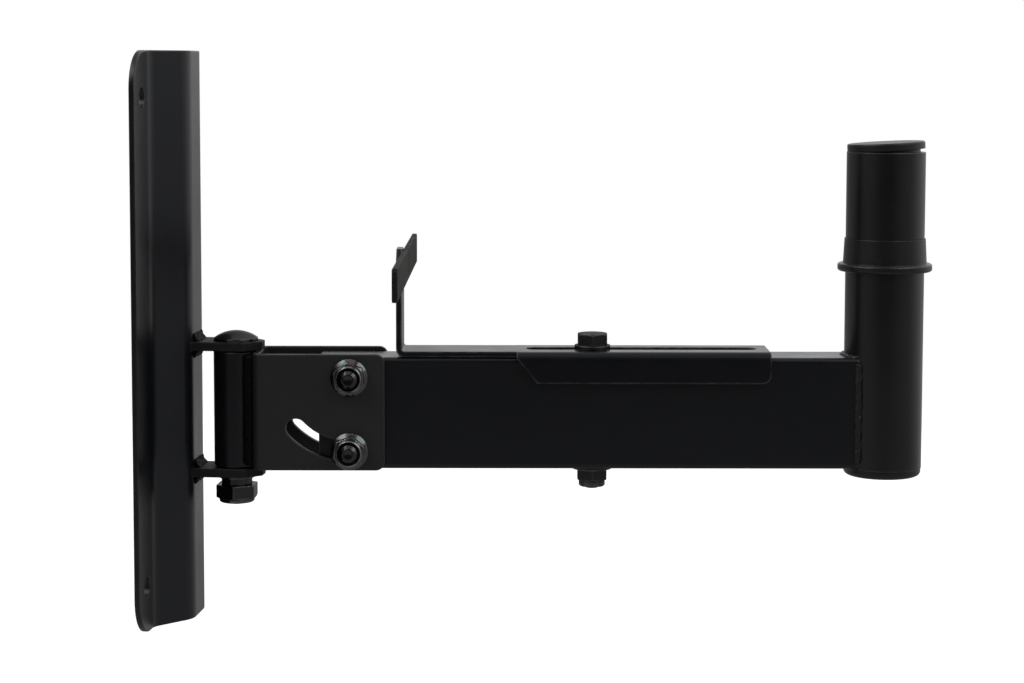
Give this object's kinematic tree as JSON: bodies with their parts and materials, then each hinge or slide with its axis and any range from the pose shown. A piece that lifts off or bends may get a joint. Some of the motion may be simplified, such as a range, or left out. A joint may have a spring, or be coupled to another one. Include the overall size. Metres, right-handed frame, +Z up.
{
  "type": "speaker wall bracket",
  "caption": "Swivelling, tilting wall bracket with a folded wall plate, a rectangular arm, a sliding stop bar and an upright round pole that holds a loudspeaker.",
  "frame": {"origin": "on the wall plane at the wall plate's centre, which is also the centre of its hole pattern", "axes": "+X away from the wall, +Y along the wall to the left of someone facing it, +Z up"},
  "size_m": [0.345, 0.1911, 0.255],
  "materials": {
    "black_coat": "satin black powder coat",
    "coated_weld": "powder-coated weld bead",
    "black_plastic": "moulded matt black",
    "nylon": "black nylon",
    "black_zinc": "glossy black zinc plate"
  },
  "bodies": {
    "wall": {"wall_plate": "black_coat", "upper_ear": "black_coat", "lower_ear": "black_coat", "ear_weld": "coated_weld", "hinge_bolt": "black_zinc", "hinge_spacer": "black_zinc", "hinge_nut": "black_zinc", "hinge_nut_insert": "nylon"},
    "knuckle": {"hinge_barrel": "black_coat", "tilt_bracket": "black_coat", "barrel_weld": "coated_weld", "pivot_bolt": "black_zinc", "pivot_nut": "black_zinc", "pivot_nut_insert": "nylon"},
    "arm": {"arm_tube": "black_coat", "pole_tube": "black_coat", "pole_weld": "coated_weld", "top_cap": "black_plastic", "bottom_plug": "black_plastic", "collar": "black_plastic", "lock_bolt": "black_zinc", "lock_nut": "black_zinc", "lock_nut_insert": "nylon", "slide_bolt": "black_zinc", "slide_head_washer": "black_zinc", "slide_nut_washer": "black_zinc", "slide_nut": "black_zinc", "slide_nut_insert": "nylon"},
    "slider": {"stop_slider": "black_coat", "stop_bar": "black_coat"}
  },
  "joints": [
    {"name": "swivel", "type": "hinge", "parent": "wall", "child": "knuckle", "pos_m": [0.0341, 0, -0.0327], "axis": [0, 0, 1], "range_deg": [-51, 39]},
    {"name": "tilt", "type": "hinge", "parent": "knuckle", "child": "arm", "pos_m": [0.08582, 0.00543, -0.017], "axis": [-0.1045, 0.9945, 0], "range_deg": [0, 43]},
    {"name": "stop_slide", "type": "slide", "parent": "arm", "child": "slider", "axis": [0.9945, 0.1045, 0], "range_m": [-0.025, 0.025]}
  ]
}
